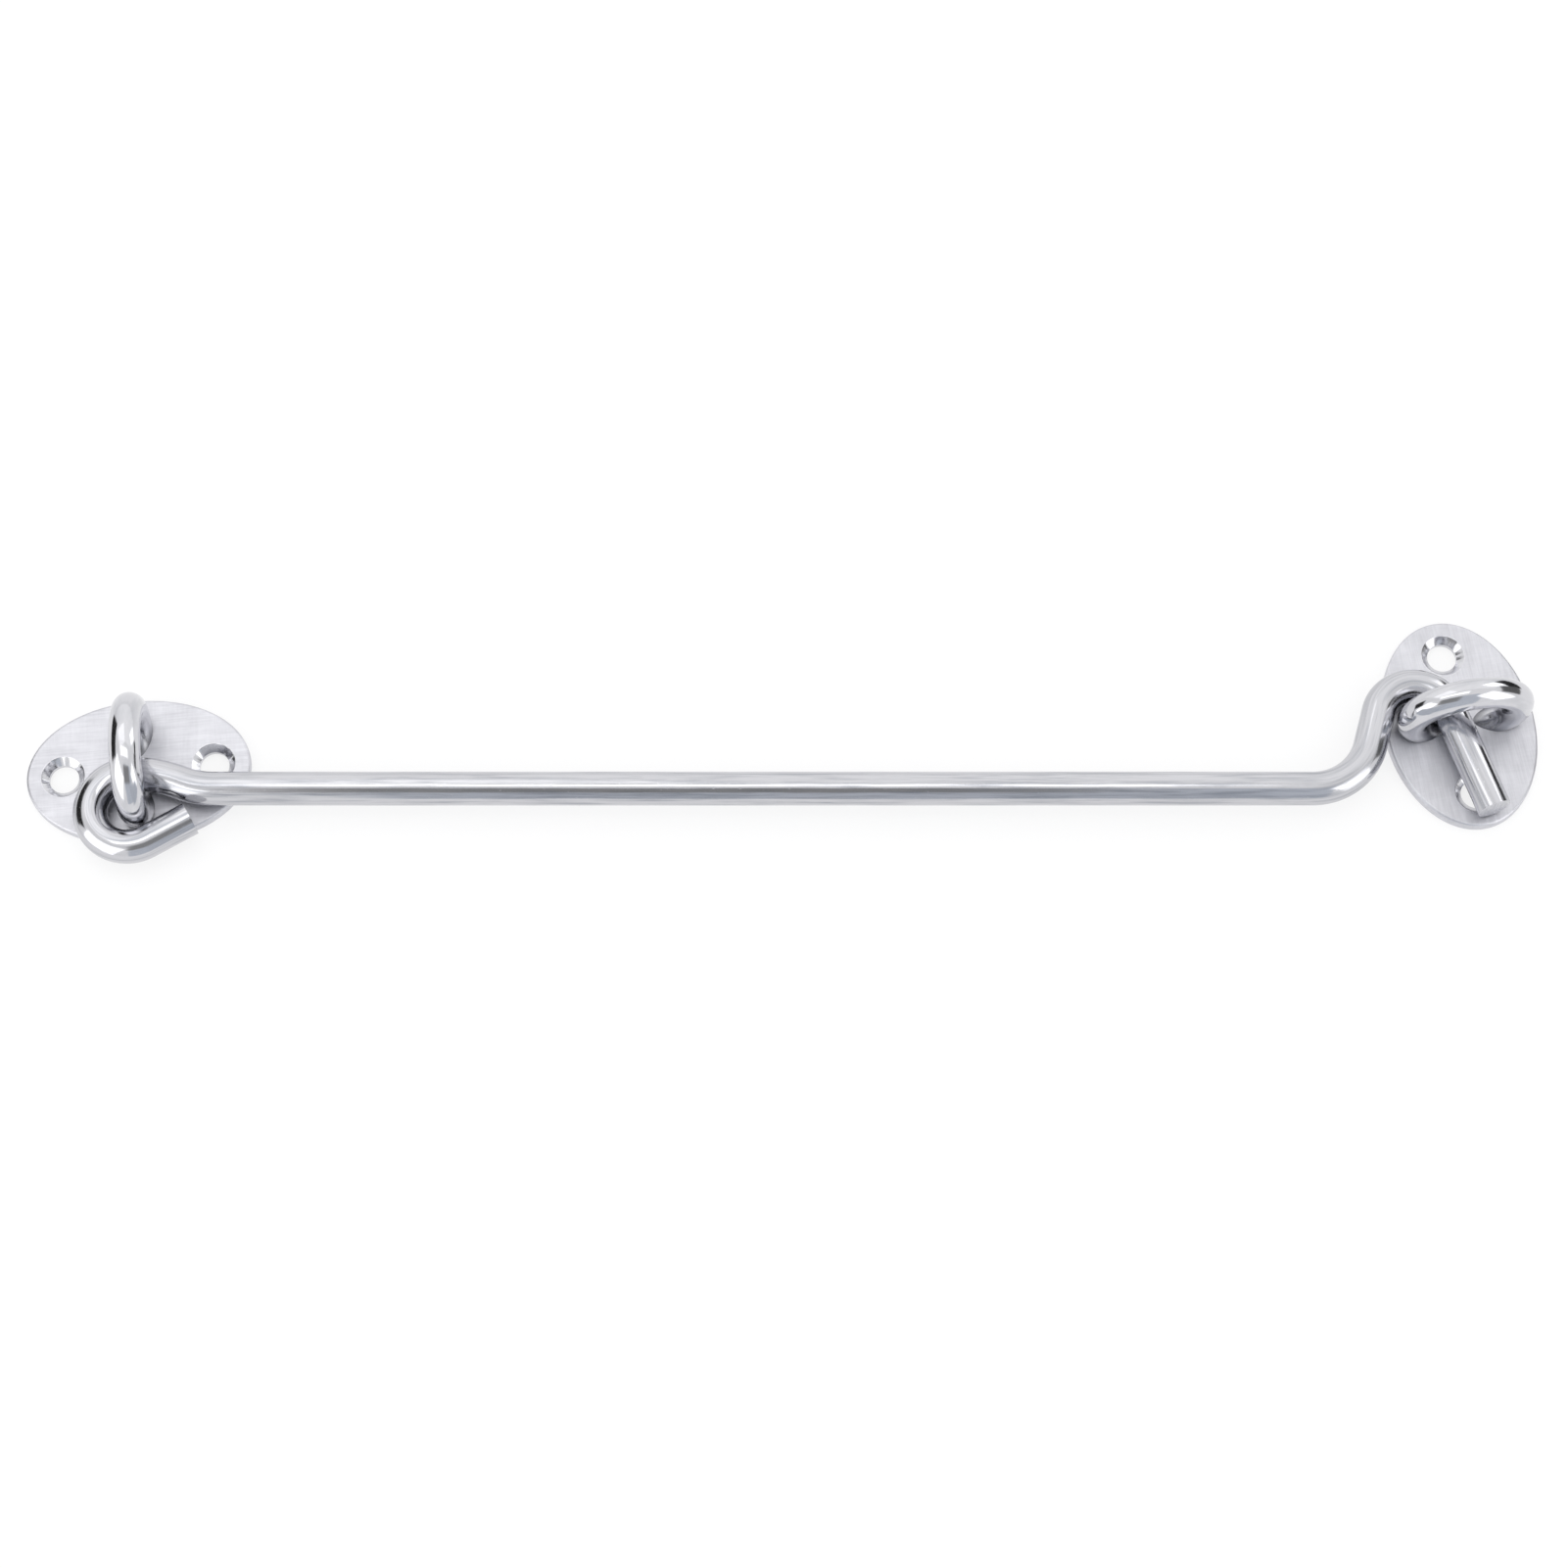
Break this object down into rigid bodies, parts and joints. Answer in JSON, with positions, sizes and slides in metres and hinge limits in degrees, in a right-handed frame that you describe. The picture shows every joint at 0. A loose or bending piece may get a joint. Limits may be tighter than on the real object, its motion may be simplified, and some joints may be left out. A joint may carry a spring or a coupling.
{
  "type": "hook and eye latch",
  "caption": "Wire hook with an eye held captive on an oval staple plate, its bent tip latched through the staple of a matching oval plate.",
  "frame": {"origin": "centre of the eye plate's back face, where it meets the door or frame", "axes": "+X along the hook's rod towards the catch, +Z outward from the surface that both plates are screwed to, +Y the way the hook lifts to release"},
  "size_m": [0.2697, 0.0478, 0.0178],
  "materials": {
    "plate_steel": "satin, cross-brushed stainless sheet",
    "staple_steel": "polished stainless wire",
    "hook_steel": "drawn stainless wire, part polished along its length"
  },
  "bodies": {
    "plates": {"eye_plate": "plate_steel", "eye_staple": "staple_steel", "catch_plate": "plate_steel", "catch_staple": "staple_steel"},
    "hook": {"hook_arm": "hook_steel"}
  },
  "joints": [
    {"name": "hook_swing", "type": "hinge", "parent": "plates", "child": "hook", "pos_m": [0.00091, -0.00946, 0.0055], "axis": [0, 0, 1], "range_deg": [0, 60]}
  ]
}
